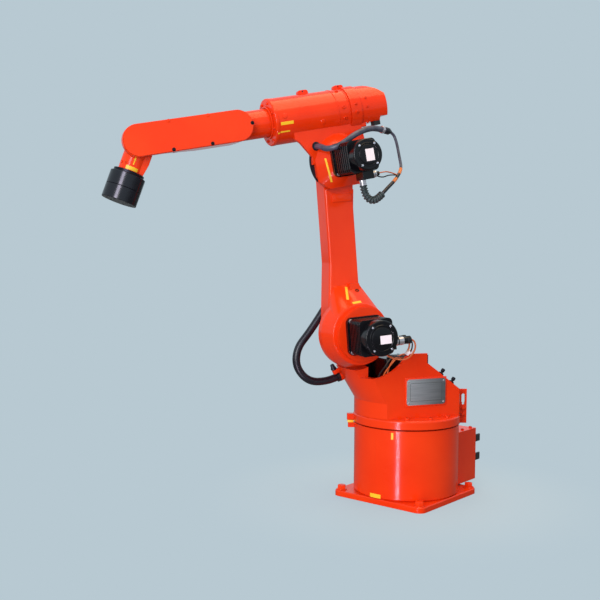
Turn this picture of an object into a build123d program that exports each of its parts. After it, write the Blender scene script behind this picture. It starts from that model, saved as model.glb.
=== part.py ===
import os
from math import radians, tan

from build123d import *

# An industrial six-axis robot arm, in millimetres and degrees.
# The origin is at the centre of the base plate's underside, on the first axis.
# +X is forward, away from the connector box, +Y is left and +Z is up.

# Driving sizes of the whole arm and its pose at rest
column_radius = 191
ring_bottom_height = 274.2
shoulder_forward = 249
shoulder_height = 608.5
lower_arm_length = 600
forearm_rise = 166
wrist_reach = 664
tool_reach = 116
turret_turn = -28
lower_arm_lean = 5.1
forearm_pitch = 11.2
wrist_bend = 59

# Fits and cuts that every piece shares
running_gap = 5
seat_gap = 0.3
overrun = 20

# Share of the shorter run that the arc at a hose's corner takes up
arc_share = 0.45


def carried(frame, x=0, y=0, z=0, tilt=0):
    """A frame at a point of another, tilted forward about its left-pointing axis."""
    return Plane(frame.location * Location((x, y, z), (0, tilt, 0)))


def side(frame, y=0):
    """The upright plane at distance y to the left: across it is forward, up it is up."""
    return Plane(frame.location * Plane.XZ.offset(-y).location)


def across(frame, x=0):
    """The plane square to forward at distance x: across it is left, up it is up."""
    return Plane(frame.location * Plane.YZ.offset(x).location)


def level(frame, z=0):
    """The flat plane at height z."""
    return Plane(frame.location * Plane.XY.offset(z).location)


# The frames of the moving bodies, each carried by the one below it
base_frame = Plane.XY
turret_frame = Plane(Location((0, 0, 0), (0, 0, turret_turn)))
lower_arm_frame = carried(turret_frame, shoulder_forward, 0, shoulder_height, lower_arm_lean)
elbow_frame = carried(lower_arm_frame, z=lower_arm_length, tilt=forearm_pitch - lower_arm_lean)
wrist_frame = carried(elbow_frame, x=wrist_reach, z=forearm_rise, tilt=wrist_bend)
turret_left = Axis(turret_frame.origin, turret_frame.y_dir)
elbow_forward = Axis(elbow_frame.origin, elbow_frame.x_dir)


def keep(piece, name):
    """Label a finished piece and write it under its name."""
    piece.part.label = name
    export_step(piece.part, f"parts/{name}.step")


def make_tube(route, diameter, name):
    """Write a hose or cable along straight runs, with an arc at each corner between them."""
    radii = []
    for before, corner, after in zip(route, route[1:], route[2:]):
        shorter = min((corner - before).length, (after - corner).length)
        half_turn = radians((corner - before).get_angle(after - corner)) / 2
        radii.append(arc_share * shorter / tan(half_turn))
    with BuildPart() as tube:
        with BuildLine() as line:
            FilletPolyline(*route, radius=radii)
        path = line.wires()[0]
        with BuildSketch(Plane(path @ 0, z_dir=path % 0)):
            Circle(diameter / 2)
        sweep(path=path)
    keep(tube, name)
    print(name, "length", round(path.length), "radii", [round(radius) for radius in radii])


os.makedirs("parts", exist_ok=True)

# Base plate with four holes for anchor bolts
plate_side = 385
plate_thickness = 20
plate_corner = 28
plate_edge = 3
anchor_spacing = 336
anchor_hole = 22
with BuildPart() as base_plate:
    with BuildSketch(base_frame):
        RectangleRounded(plate_side, plate_side, plate_corner)
        with GridLocations(anchor_spacing, anchor_spacing, 2, 2):
            Circle(anchor_hole / 2, mode=Mode.SUBTRACT)
    extrude(amount=plate_thickness)
    chamfer(base_plate.faces().sort_by(Axis.Z)[-1].outer_wire().edges(), plate_edge)
keep(base_plate, "base_plate")

# Base column, a round housing with a bearing collar on its top
ring_seam = 6
collar_radius = 168
column_foot = 5
with BuildPart() as base_column:
    with BuildSketch(level(base_frame, plate_thickness)):
        Circle(column_radius)
    extrude(amount=ring_bottom_height - ring_seam - plate_thickness)
    with BuildSketch(level(base_frame, ring_bottom_height - ring_seam)):
        Circle(collar_radius)
    extrude(amount=ring_seam - seat_gap)
    chamfer(base_column.edges().filter_by(GeomType.CIRCLE).sort_by(Axis.Z)[0], column_foot)
keep(base_column, "base_column")

# Connector box behind the column
box_rear = 290
box_half_width = 130
box_bottom = 26
box_top = 222
box_edge = 6
with BuildPart() as connector_box:
    with BuildSketch(level(base_frame, box_bottom)):
        with Locations((-box_rear / 2, 0)):
            Rectangle(box_rear, 2 * box_half_width)
        Circle(column_radius + seat_gap, mode=Mode.SUBTRACT)
    extrude(amount=box_top - box_bottom)
    rear_face = connector_box.faces().sort_by(Axis.X)[0]
    fillet(rear_face.edges(), box_edge)
keep(connector_box, "connector_box")

# Two round connectors in the rear face of the box
connector_radius = 24
connector_length = 22
connector_nut_radius = 29
connector_nut_length = 8
connector_side = 72
connector_heights = {"connector_upper": 178, "connector_lower": 106}
for connector_name, connector_height in connector_heights.items():
    with BuildPart() as connector:
        with BuildSketch(across(base_frame, -box_rear)):
            with Locations((connector_side, connector_height)):
                Circle(connector_nut_radius)
        extrude(amount=-connector_nut_length)
        with BuildSketch(across(base_frame, -box_rear - connector_nut_length)):
            with Locations((connector_side, connector_height)):
                Circle(connector_radius)
        extrude(amount=-connector_length)
    keep(connector, connector_name)

# Turret flange, the ring that turns on the column's bearing
flange_radius = 195
flange_height = 31
flange_round = 7
with BuildPart() as turret_flange:
    with BuildSketch(level(turret_frame, ring_bottom_height)):
        Circle(flange_radius)
    extrude(amount=flange_height)
    fillet(turret_flange.edges().group_by(Axis.Z)[-1], flange_round)
keep(turret_flange, "turret_flange")

# Turret casting: a drum whose nose leans out under the shoulder, cut flat on both sides,
# with a pocket for the arm, a scooped near wall with a post, and a far cheek up to the shoulder
drum_radius = 193
drum_straight = 56
nose_top_height = 500
nose_shift = 95
nose_radius = 186
near_wall_outer = 126
near_wall_inner = 80
far_cheek_outer = -138
far_cheek_inner = -52
post_top_height = 534
post_front = 90
post_rear = -12
slope_upper_back = -37
slope_upper_height = 482
slope_lower_back = -62
slope_lower_height = 464
slope_end_height = 352
scoop_radius = 173
scoop_forward = 213
scoop_height = 624
hub_radius = 122
hub_space = 8
hub_space_radius = hub_radius + hub_space
pocket_floor_height = 380
pocket_floor_front = 150
pocket_ledge_height = 440
pocket_front = 198
pocket_near = 112
pocket_rear = -120
cheek_radius = 80
cheek_back = 42
cheek_foot_front = 150
cheek_foot_rear = 60
bearing_boss_radius = 38
hose_boss_forward = 244
hose_boss_side = -66
hose_boss_height = 440
hose_boss_tilt = 22
hose_boss_radius = 20
hose_boss_length = 37
hose_boss_frame = carried(turret_frame, hose_boss_forward, hose_boss_side, hose_boss_height, hose_boss_tilt)
turret_bottom = ring_bottom_height + flange_height
drum_top = turret_bottom + drum_straight
cheek_forward = shoulder_forward - cheek_back
block_front = nose_shift + nose_radius + overrun
block_rear = -drum_radius - overrun
with BuildPart() as turret_casting:
    with BuildSketch(level(turret_frame, turret_bottom)):
        Circle(drum_radius)
    extrude(amount=nose_top_height - turret_bottom)
    with BuildSketch(level(turret_frame, drum_top)):
        Circle(drum_radius)
    with BuildSketch(level(turret_frame, nose_top_height)):
        with Locations((nose_shift, 0)):
            Circle(nose_radius)
    loft()
    # The post at the near wall's top
    with BuildSketch(level(turret_frame, nose_top_height)):
        with Locations(((post_rear + post_front) / 2, (near_wall_inner + near_wall_outer) / 2)):
            Rectangle(post_front - post_rear, near_wall_outer - near_wall_inner)
    extrude(amount=post_top_height - nose_top_height)
    # The side outline, with its rear slope and post, trims the whole block
    with BuildSketch(side(turret_frame, near_wall_outer)):
        with BuildLine():
            Polyline(
                (block_rear, turret_bottom),
                (block_rear, slope_end_height),
                (slope_lower_back, slope_lower_height),
                (slope_upper_back, slope_upper_height),
                (post_rear, nose_top_height),
                (post_rear, post_top_height),
                (post_front, post_top_height),
                (block_front, post_top_height),
                (block_front, turret_bottom),
                close=True,
            )
        make_face()
    extrude(amount=near_wall_outer - far_cheek_outer, mode=Mode.INTERSECT)
    # The scoop over the near wall and the space that the arm's hub turns in
    with BuildSketch(side(turret_frame, near_wall_outer + overrun)):
        with Locations((scoop_forward, scoop_height)):
            Circle(scoop_radius)
    extrude(amount=near_wall_outer + overrun - near_wall_inner, mode=Mode.SUBTRACT)
    with BuildSketch(side(turret_frame, near_wall_inner + overrun)):
        with Locations((shoulder_forward, shoulder_height)):
            Circle(hub_space_radius)
    extrude(amount=near_wall_inner + overrun - far_cheek_outer + overrun, mode=Mode.SUBTRACT)
    pocket_steps = (
        (pocket_floor_height, pocket_floor_front, near_wall_inner),
        (pocket_ledge_height, pocket_front, pocket_near),
    )
    for step_height, step_front, step_near in pocket_steps:
        with BuildSketch(level(turret_frame, step_height)):
            with BuildLine():
                Polyline(
                    (pocket_rear, step_near),
                    (step_front, step_near),
                    (step_front, far_cheek_inner),
                    (pocket_rear, far_cheek_inner),
                    close=True,
                )
            make_face()
        extrude(amount=post_top_height, mode=Mode.SUBTRACT)
    # The far cheek, a rounded upright that carries the shoulder bearing
    with BuildSketch(side(turret_frame, far_cheek_inner)):
        with Locations((cheek_forward, shoulder_height)):
            Circle(cheek_radius)
        with BuildLine():
            Polyline(
                (cheek_foot_rear, drum_top),
                (cheek_foot_front, drum_top),
                (cheek_forward + cheek_radius, shoulder_height),
                (cheek_forward - cheek_radius, shoulder_height),
                close=True,
            )
        make_face()
    extrude(amount=far_cheek_inner - far_cheek_outer)
    # The boss on the nose that the hose's clamp sits on
    with BuildSketch(across(hose_boss_frame)):
        Circle(hose_boss_radius)
    extrude(amount=-hose_boss_length)
    # The bearing boss that the arm's hub turns against
    with BuildSketch(side(turret_frame, far_cheek_inner)):
        with Locations((shoulder_forward, shoulder_height)):
            Circle(bearing_boss_radius)
    extrude(amount=-(running_gap - seat_gap))
keep(turret_casting, "turret_casting")

# Bearing cap on the far cheek
cap_radius = 36
cap_thickness = 12
cap_edge = 3
with BuildPart() as shoulder_bearing_cap:
    with BuildSketch(side(turret_frame, far_cheek_outer)):
        with Locations((shoulder_forward, shoulder_height)):
            Circle(cap_radius)
    extrude(amount=cap_thickness)
    chamfer(shoulder_bearing_cap.edges().group_by(turret_left)[0], cap_edge)
keep(shoulder_bearing_cap, "shoulder_bearing_cap")

# First-axis motor, upright in the turret's pocket
turn_motor_forward = 66
turn_motor_side = 14
turn_motor_width = 116
turn_motor_corner = 14
turn_motor_height = 132
with BuildPart() as turn_motor:
    with BuildSketch(level(turret_frame, pocket_floor_height)):
        with Locations((turn_motor_forward, turn_motor_side)):
            RectangleRounded(turn_motor_width, turn_motor_width, turn_motor_corner)
    extrude(amount=turn_motor_height)
keep(turn_motor, "turn_motor")

# Nameplate with no lettering, on a raised pad of the near wall
nameplate_width = 156
nameplate_height = 92
nameplate_thickness = 6
nameplate_forward = -6
nameplate_centre_height = 398
nameplate_corner = 10
with BuildPart() as nameplate:
    with BuildSketch(side(turret_frame, near_wall_outer)):
        with Locations((nameplate_forward, nameplate_centre_height)):
            RectangleRounded(nameplate_width, nameplate_height, nameplate_corner)
    extrude(amount=-nameplate_thickness)
keep(nameplate, "nameplate")

# Rear bracket, a flat bar that stands out of the drum with a slot and a hole
bracket_direction = 156
bracket_reach = 26
bracket_thickness = 10
bracket_bottom_height = 268
bracket_top_height = 393
bracket_slot_length = 34
bracket_slot_width = 12
bracket_hole = 9
bracket_frame = Plane(turret_frame.location * Location((0, 0, 0), (0, 0, bracket_direction)))
bracket_height = bracket_top_height - bracket_bottom_height
bracket_centre = drum_radius + bracket_reach / 2
with BuildPart() as rear_bracket:
    with BuildSketch(side(bracket_frame, bracket_thickness / 2)):
        with Locations((bracket_centre, bracket_bottom_height + bracket_height / 2)):
            Rectangle(bracket_reach, bracket_height)
        with Locations((bracket_centre, bracket_top_height - bracket_slot_length)):
            SlotOverall(bracket_slot_length, bracket_slot_width, rotation=90, mode=Mode.SUBTRACT)
        with Locations((bracket_centre, turret_bottom + bracket_slot_length)):
            Circle(bracket_hole / 2, mode=Mode.SUBTRACT)
    extrude(amount=bracket_thickness)
    # The foot stands clear of the turning flange's rim
    with BuildSketch(level(turret_frame, bracket_bottom_height)):
        Circle(flange_radius + seat_gap)
    extrude(amount=turret_bottom - bracket_bottom_height, mode=Mode.SUBTRACT)
    with BuildSketch(level(turret_frame, turret_bottom)):
        Circle(drum_radius)
    extrude(amount=bracket_height, mode=Mode.SUBTRACT)
keep(rear_bracket, "rear_bracket")

# Zero-mark lugs, one on the turning flange and one on the column below it
lug_direction = -22
lug_reach = 24
lug_width = 22
upper_lug_bottom = ring_bottom_height + 2
upper_lug_height = 22
lower_lug_bottom = ring_bottom_height - 26
lower_lug_height = 18
lug_frame = Plane(turret_frame.location * Location((0, 0, 0), (0, 0, lug_direction)))
lugs = (
    ("zero_mark_lug", upper_lug_bottom, upper_lug_height, flange_radius),
    ("zero_mark_lug_lower", lower_lug_bottom, lower_lug_height, column_radius),
)
for lug_name, lug_bottom, lug_height, lug_root in lugs:
    with BuildPart() as lug:
        with BuildSketch(level(lug_frame, lug_bottom)):
            with Locations((lug_root, 0)):
                Rectangle(2 * lug_reach, lug_width)
        extrude(amount=lug_height)
        with BuildSketch(level(lug_frame, lug_bottom)):
            Circle(lug_root)
        extrude(amount=lug_height, mode=Mode.SUBTRACT)
    keep(lug, lug_name)

# Lower arm: a slender link between the shoulder hub and the elbow hub
link_half_width = 40
link_front = 60
link_rear = 43
link_edge = 9
hub_inner = 36
hub_taper_start = 62
hub_near_radius = 106
hub_outer = near_wall_outer
hub_edge = 6
hub_far_radius = 80
hub_far_face = far_cheek_inner + running_gap
hub_step_radius = 93
hub_step = 19
flare_near_face = 62
flare_top_height = 172
flare_knee_back = 50
flare_knee_height = 128
flare_middle_back = 91
flare_middle_height = 87
flare_low_back = 112
flare_low_height = 52
front_flare_forward = 78
front_flare_height = 62
front_flare_top_height = 250
rear_spread_height = 435
rear_spread_back = 58
elbow_hub_radius = 74
elbow_hub_far_face = -46
elbow_hub_near_face = 34
elbow_disc_radius = 107
with BuildPart() as lower_arm:
    with BuildSketch(side(lower_arm_frame, link_half_width)):
        with BuildLine():
            Polyline(
                (front_flare_forward, 0),
                (front_flare_forward, front_flare_height),
                (link_front, front_flare_top_height),
                (link_front, lower_arm_length),
                (-rear_spread_back, lower_arm_length),
                (-link_rear, rear_spread_height),
                (-link_rear, flare_top_height),
                (-flare_knee_back, flare_knee_height),
                (-flare_middle_back, flare_middle_height),
                (-flare_middle_back, 0),
                close=True,
            )
        make_face()
    extrude(amount=2 * link_half_width)
    fillet(lower_arm.edges().filter_by(GeomType.LINE).sort_by_distance(
        lower_arm_frame.from_local_coords((link_front, 0, lower_arm_length / 2)))[0:2], link_edge)
    # The rear web that spreads onto the shoulder hub
    with BuildSketch(side(lower_arm_frame, flare_near_face)):
        with BuildLine():
            Polyline(
                (0, 0),
                (0, flare_top_height),
                (-link_rear + link_edge, flare_top_height),
                (-flare_knee_back, flare_knee_height),
                (-flare_middle_back, flare_middle_height),
                (-flare_low_back, flare_low_height),
                (-flare_low_back, 0),
                close=True,
            )
        make_face()
    extrude(amount=flare_near_face - hub_inner)
    with BuildSketch(side(lower_arm_frame, hub_taper_start)):
        Circle(hub_radius)
    extrude(amount=hub_taper_start - hub_inner)
    with BuildSketch(side(lower_arm_frame, hub_taper_start)):
        Circle(hub_radius)
    with BuildSketch(side(lower_arm_frame, hub_outer)):
        Circle(hub_near_radius)
    loft()
    fillet(lower_arm.edges().filter_by(GeomType.CIRCLE).group_by(turret_left)[-1], hub_edge)
    with BuildSketch(side(lower_arm_frame, hub_outer + hub_step)):
        Circle(hub_step_radius)
    extrude(amount=hub_step)
    with BuildSketch(side(lower_arm_frame, hub_inner)):
        Circle(hub_far_radius)
    extrude(amount=hub_inner - hub_far_face)
    with BuildSketch(side(lower_arm_frame, elbow_hub_near_face)):
        with Locations((0, lower_arm_length)):
            Circle(elbow_hub_radius)
    extrude(amount=elbow_hub_near_face - elbow_hub_far_face)
    # The near side is cut back round the elbow's disc
    with BuildSketch(side(lower_arm_frame, link_half_width + overrun)):
        with Locations((0, lower_arm_length)):
            Circle(elbow_disc_radius + running_gap)
    extrude(amount=link_half_width + overrun - elbow_hub_near_face, mode=Mode.SUBTRACT)
keep(lower_arm, "lower_arm")

# Gland on the far side of the lower arm, where the loop hose comes out
gland_forward = 2
gland_height = 140
gland_tilt = 51.7
gland_radius = 19
gland_length = 34
gland_foot_length = 30
gland_foot_width = 28
gland_frame = carried(lower_arm_frame, gland_forward, hose_boss_side, gland_height, gland_tilt)
with BuildPart() as arm_hose_gland:
    with BuildSketch(across(gland_frame)):
        Circle(gland_radius)
    extrude(amount=-gland_length)
    with BuildSketch(side(gland_frame, -hose_boss_side - link_half_width)):
        with Locations((-gland_length / 2, 0)):
            Rectangle(gland_foot_length, gland_foot_width)
    extrude(amount=-hose_boss_side - link_half_width)
keep(arm_hose_gland, "arm_hose_gland")

# Clamp on the turret's nose, where the loop hose goes in
clamp_radius = 19
clamp_length = 10
with BuildPart() as hose_clamp:
    with BuildSketch(across(hose_boss_frame)):
        Circle(clamp_radius)
    extrude(amount=clamp_length)
keep(hose_clamp, "hose_clamp")

# Loop hose that carries the cables past the shoulder joint
hose_diameter = 28
hose_first_run = 90
hose_last_run = 36
hose_places = (
    (364, -66, 600),
    (410, -66, 546),
    (414, -66, 478),
    (363, -66, 423),
)
hose_route = [
    gland_frame.origin,
    gland_frame.from_local_coords((hose_first_run, 0, 0)),
    *[turret_frame.from_local_coords(place) for place in hose_places],
    hose_boss_frame.from_local_coords((clamp_length + hose_last_run, 0, 0)),
    hose_boss_frame.from_local_coords((clamp_length, 0, 0)),
]
make_tube(hose_route, hose_diameter, "loop_hose")

# Motors: a square flange, a ribbed body and a round end cap, on the shoulder and on the elbow
motor_corner = 16
motor_flange_margin = 4
motor_flange_thickness = 14
motor_cap_margin = 1
motor_cap_length = 40
motor_cap_edge = 5
motor_rib_count = 7
motor_rib_depth = 5


def make_motor(frame, seat, end, width, name):
    """Write a motor's flange, body and cap, from distance seat to distance end on the left."""
    body_start = seat + motor_flange_thickness
    body_end = end - motor_cap_length
    flange_width = width + 2 * motor_flange_margin
    rib_floor = width - 2 * motor_rib_depth
    with BuildPart() as motor_flange:
        with BuildSketch(side(frame, seat)):
            RectangleRounded(flange_width, flange_width, motor_corner + motor_flange_margin)
        extrude(amount=-motor_flange_thickness)
    keep(motor_flange, f"{name}_flange")
    with BuildPart() as motor_body:
        with BuildSketch(side(frame, body_start)):
            RectangleRounded(width, width, motor_corner)
        extrude(amount=body_start - body_end)
        groove = (body_end - body_start) / (2 * motor_rib_count + 1)
        for rib in range(motor_rib_count):
            with BuildSketch(side(frame, body_start + groove * (2 * rib + 1))):
                RectangleRounded(width, width, motor_corner)
                RectangleRounded(
                    rib_floor, rib_floor, motor_corner - motor_rib_depth, mode=Mode.SUBTRACT)
            extrude(amount=-groove, mode=Mode.SUBTRACT)
    keep(motor_body, f"{name}_body")
    with BuildPart() as motor_cap:
        with BuildSketch(side(frame, body_end)):
            Circle(width / 2 - motor_cap_margin)
        extrude(amount=-motor_cap_length)
        fillet(motor_cap.edges().group_by(turret_left)[-1], motor_cap_edge)
    keep(motor_cap, f"{name}_cap")


shoulder_motor_width = 122
shoulder_motor_end = 284
make_motor(lower_arm_frame, hub_outer + hub_step, shoulder_motor_end, shoulder_motor_width, "shoulder_motor")

# Cable plugs on the rear side of the shoulder motor
plug_block_depth = 14
plug_block_start = 176
plug_block_end = 236
plug_block_height = 50
plug_radius = 13
plug_length = 46
plug_places = (190, 222)
shoulder_motor_side = shoulder_motor_width / 2
with BuildPart() as shoulder_motor_plugs:
    with BuildSketch(across(lower_arm_frame, -shoulder_motor_side)):
        with Locations(((plug_block_start + plug_block_end) / 2, -plug_block_height / 2)):
            Rectangle(plug_block_end - plug_block_start, plug_block_height)
    extrude(amount=-plug_block_depth)
    for plug_place in plug_places:
        with BuildSketch(across(lower_arm_frame, -shoulder_motor_side - plug_block_depth)):
            with Locations((plug_place, -plug_block_height / 2)):
                Circle(plug_radius)
        extrude(amount=-plug_length)
keep(shoulder_motor_plugs, "shoulder_motor_plugs")

# Elbow casting: a disc on the elbow hub that grows up to the barrel and out to the motor
rear_flange_radius = 84
rear_flange_length = 41
elbow_disc_near_face = 62
elbow_disc_far_face = elbow_hub_near_face + seat_gap
elbow_web_far_face = 48.5
elbow_disc_flat = 91
elbow_front = 98
elbow_front_low_height = 17
elbow_front_high = 139
elbow_front_high_height = 79
elbow_front_top = 156
elbow_front_top_height = 93
elbow_rear = 96
elbow_rear_height = 112
elbow_boss_start_radius = 92
elbow_boss_end_radius = 60
elbow_boss_end = 105
conduit_hole_forward = 84
conduit_hole_height = 60
conduit_hole_radius = 15
conduit_hole_depth = 14
barrel_radius = 79
barrel_front = 208
barrel_rear = -60
with BuildPart() as elbow_casting:
    with BuildSketch(side(elbow_frame, elbow_disc_near_face)):
        Circle(elbow_disc_radius)
        # The disc is flat underneath
        with Locations((0, -elbow_disc_flat - overrun)):
            Rectangle(2 * elbow_disc_radius, 2 * overrun, mode=Mode.SUBTRACT)
    extrude(amount=elbow_disc_near_face - elbow_disc_far_face)
    # The web from the disc up to the barrel
    with BuildSketch(side(elbow_frame, elbow_disc_near_face)):
        with BuildLine():
            Polyline(
                (elbow_front, 0),
                (elbow_front, elbow_front_low_height),
                (elbow_front_high, elbow_front_high_height),
                (elbow_front_top, elbow_front_top_height),
                (elbow_front_top, forearm_rise),
                (-elbow_rear, forearm_rise),
                (-elbow_rear, elbow_rear_height),
                (-elbow_disc_radius, 0),
                close=True,
            )
        make_face()
    extrude(amount=elbow_disc_near_face - elbow_web_far_face)
    # The near layer is square at its front
    with BuildSketch(side(elbow_frame, elbow_disc_near_face)):
        with Locations((elbow_front + overrun, -elbow_disc_radius / 2)):
            Rectangle(2 * overrun, elbow_disc_radius)
    extrude(amount=elbow_disc_near_face - elbow_web_far_face, mode=Mode.SUBTRACT)
    with BuildSketch(across(elbow_frame, barrel_rear)):
        with Locations((0, forearm_rise)):
            Circle(barrel_radius + seat_gap)
    extrude(amount=barrel_front - barrel_rear, mode=Mode.SUBTRACT)
    with BuildSketch(across(elbow_frame, barrel_rear)):
        with Locations((0, forearm_rise)):
            Circle(rear_flange_radius + seat_gap)
    extrude(amount=-elbow_rear - overrun - barrel_rear, mode=Mode.SUBTRACT)
    # The tapered boss that carries the motor
    with BuildSketch(side(elbow_frame, elbow_disc_near_face)):
        Circle(elbow_boss_start_radius)
    with BuildSketch(side(elbow_frame, elbow_boss_end)):
        Circle(elbow_boss_end_radius)
    loft()
    # The hole that the motor cables' conduit comes out of
    with BuildSketch(side(elbow_frame, elbow_disc_near_face)):
        with Locations((conduit_hole_forward, conduit_hole_height)):
            Circle(conduit_hole_radius)
    extrude(amount=conduit_hole_depth, mode=Mode.SUBTRACT)
keep(elbow_casting, "elbow_casting")

# Barrel, the round housing that the forearm turns in
with BuildPart() as elbow_barrel:
    with BuildSketch(across(elbow_frame, barrel_rear)):
        with Locations((0, forearm_rise)):
            Circle(barrel_radius)
    extrude(amount=barrel_front - barrel_rear)
keep(elbow_barrel, "elbow_barrel")

# Front ring of the barrel
front_ring_radius = 80
front_ring_length = 12
front_ring_round = 5
with BuildPart() as barrel_front_ring:
    with BuildSketch(across(elbow_frame, barrel_front)):
        with Locations((0, forearm_rise)):
            Circle(front_ring_radius)
    extrude(amount=front_ring_length)
    fillet(barrel_front_ring.edges().group_by(elbow_forward)[-1], front_ring_round)
keep(barrel_front_ring, "barrel_front_ring")

# Bolted flange between the barrel and the rear cover
with BuildPart() as barrel_rear_flange:
    with BuildSketch(across(elbow_frame, barrel_rear)):
        with Locations((0, forearm_rise)):
            Circle(rear_flange_radius)
    extrude(amount=-rear_flange_length)
keep(barrel_rear_flange, "barrel_rear_flange")

# Rear cover, round above and flat below, with a sloping back
cover_front = barrel_rear - rear_flange_length
cover_rear = -200
cover_bottom = 114
cover_radius = 80
cover_slope_start = -140
cover_slope_middle = -178
cover_slope_middle_height = 226
cover_rear_height = 205
cover_notch_start = -172
cover_notch_height = 128
with BuildPart() as rear_cover:
    with BuildSketch(across(elbow_frame, cover_front)):
        with Locations((0, forearm_rise)):
            Circle(cover_radius)
        with Locations((0, cover_bottom - overrun)):
            Rectangle(2 * cover_radius, 2 * overrun, mode=Mode.SUBTRACT)
    extrude(amount=cover_rear - cover_front)
    with BuildSketch(side(elbow_frame, cover_radius)):
        with BuildLine():
            Polyline(
                (cover_front, cover_bottom),
                (cover_notch_start, cover_bottom),
                (cover_notch_start, cover_notch_height),
                (cover_rear, cover_notch_height),
                (cover_rear, cover_rear_height),
                (cover_slope_middle, cover_slope_middle_height),
                (cover_slope_start, forearm_rise + cover_radius),
                (cover_front, forearm_rise + cover_radius),
                close=True,
            )
        make_face()
    extrude(amount=2 * cover_radius, mode=Mode.INTERSECT)
keep(rear_cover, "rear_cover")

# Small bracket under the rear cover
cover_bracket_front = -146
cover_bracket_length = 24
cover_bracket_near_face = 66
cover_bracket_width = 26
cover_bracket_height = 14
with BuildPart() as cover_bracket:
    with BuildSketch(level(elbow_frame, cover_bottom)):
        with Locations((
            cover_bracket_front - cover_bracket_length / 2,
            cover_bracket_near_face - cover_bracket_width / 2,
        )):
            Rectangle(cover_bracket_length, cover_bracket_width)
    extrude(amount=-cover_bracket_height)
keep(cover_bracket, "cover_bracket")

# Two lifting lugs on the barrel's top
lifting_lug_places = (76, -59)
lifting_lug_length = 38
lifting_lug_height = 13
lifting_lug_width = 16
lifting_lug_corner = 9
lifting_lug_hole = 6
lifting_lug_hole_rise = 8
with BuildPart() as lifting_lugs:
    for lifting_lug_place in lifting_lug_places:
        with BuildSketch(side(elbow_frame, lifting_lug_width / 2)):
            with Locations((lifting_lug_place, forearm_rise + barrel_radius)):
                RectangleRounded(lifting_lug_length, 2 * lifting_lug_height, lifting_lug_corner)
            with Locations((lifting_lug_place, forearm_rise + barrel_radius + lifting_lug_hole_rise)):
                Circle(lifting_lug_hole / 2, mode=Mode.SUBTRACT)
        extrude(amount=lifting_lug_width)
    with BuildSketch(across(elbow_frame, barrel_front)):
        with Locations((0, forearm_rise)):
            Circle(barrel_radius)
    extrude(amount=barrel_rear - barrel_front, mode=Mode.SUBTRACT)
    with BuildSketch(across(elbow_frame, barrel_rear)):
        with Locations((0, forearm_rise)):
            Circle(rear_flange_radius)
    extrude(amount=-rear_flange_length, mode=Mode.SUBTRACT)
keep(lifting_lugs, "lifting_lugs")

elbow_motor_width = 106
elbow_motor_end = 272
elbow_motor_bottom = -elbow_motor_width / 2
make_motor(elbow_frame, elbow_boss_end, elbow_motor_end, elbow_motor_width, "elbow_motor")

# Terminal box under the elbow motor with one plug down and one back
terminal_front = 6
terminal_length = 40
terminal_start = 168
terminal_end = 222
terminal_depth = 26
elbow_plug_radius = 10
elbow_plug_length = 18
elbow_plug_forward = 0
elbow_plug_side = 199
terminal_bottom = elbow_motor_bottom - terminal_depth
with BuildPart() as elbow_motor_plugs:
    with BuildSketch(level(elbow_frame, elbow_motor_bottom)):
        with Locations((terminal_front - terminal_length / 2, (terminal_start + terminal_end) / 2)):
            Rectangle(terminal_length, terminal_end - terminal_start)
    extrude(amount=-terminal_depth)
    with BuildSketch(level(elbow_frame, terminal_bottom)):
        with Locations((elbow_plug_forward, elbow_plug_side)):
            Circle(elbow_plug_radius)
    extrude(amount=-elbow_plug_length)
    with BuildSketch(across(elbow_frame, terminal_front - terminal_length)):
        with Locations((elbow_plug_side, elbow_motor_bottom - terminal_depth / 2)):
            Circle(elbow_plug_radius)
    extrude(amount=-elbow_plug_length)
keep(elbow_motor_plugs, "elbow_motor_plugs")

# Conduit for the motor cables, from its hole in the casting over the motor to its end
conduit_diameter = 20
conduit_places = (
    (84, 96, 60),
    (74, 138, 55),
    (38, 167, 65),
    (-16, 161, 79),
    (-70, 140, 86),
    (-120, 118, 88),
    (-176, 97, 71),
)
conduit_start = (conduit_hole_forward, elbow_disc_near_face - conduit_hole_depth, conduit_hole_height)
conduit_route = [elbow_frame.from_local_coords(place) for place in (conduit_start, *conduit_places)]
make_tube(conduit_route, conduit_diameter, "conduit")

# Band clamp round the conduit near its end
conduit_clamp_radius = 13
conduit_clamp_length = 9
conduit_clamp_back = 22
conduit_end_run = conduit_route[-2] - conduit_route[-1]
conduit_clamp_place = conduit_route[-1] + conduit_end_run.normalized() * conduit_clamp_back
with BuildPart() as conduit_clamp:
    with BuildSketch(Plane(conduit_clamp_place, z_dir=conduit_end_run)):
        Circle(conduit_clamp_radius)
        Circle(conduit_diameter / 2, mode=Mode.SUBTRACT)
    extrude(amount=-conduit_clamp_length)
keep(conduit_clamp, "conduit_clamp")

# Elbow boot on the plug, a bent rubber sleeve that the cable goes into
boot_diameter = 24
boot_places = ((0, 199, -136), (-34, 197, -158), (-68, 191, -136))
boot_start = (elbow_plug_forward, elbow_plug_side, terminal_bottom - elbow_plug_length)
boot_route = [elbow_frame.from_local_coords(place) for place in (boot_start, *boot_places)]
make_tube(boot_route, boot_diameter, "cable_boot")

# Cable from the conduit's end down to the boot
cable_diameter = 10
cable_end_run = 28
cable_places = (
    (-204, 98, 26),
    (-192, 122, -24),
    (-182, 144, -66),
    (-138, 169, -98),
)
cable_route = [
    conduit_route[-1],
    conduit_route[-1] - conduit_end_run.normalized() * cable_end_run,
    *[elbow_frame.from_local_coords(place) for place in cable_places],
    boot_route[-1] + (boot_route[-1] - boot_route[-2]).normalized() * cable_end_run,
    boot_route[-1],
]
make_tube(cable_route, cable_diameter, "elbow_cable")

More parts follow.
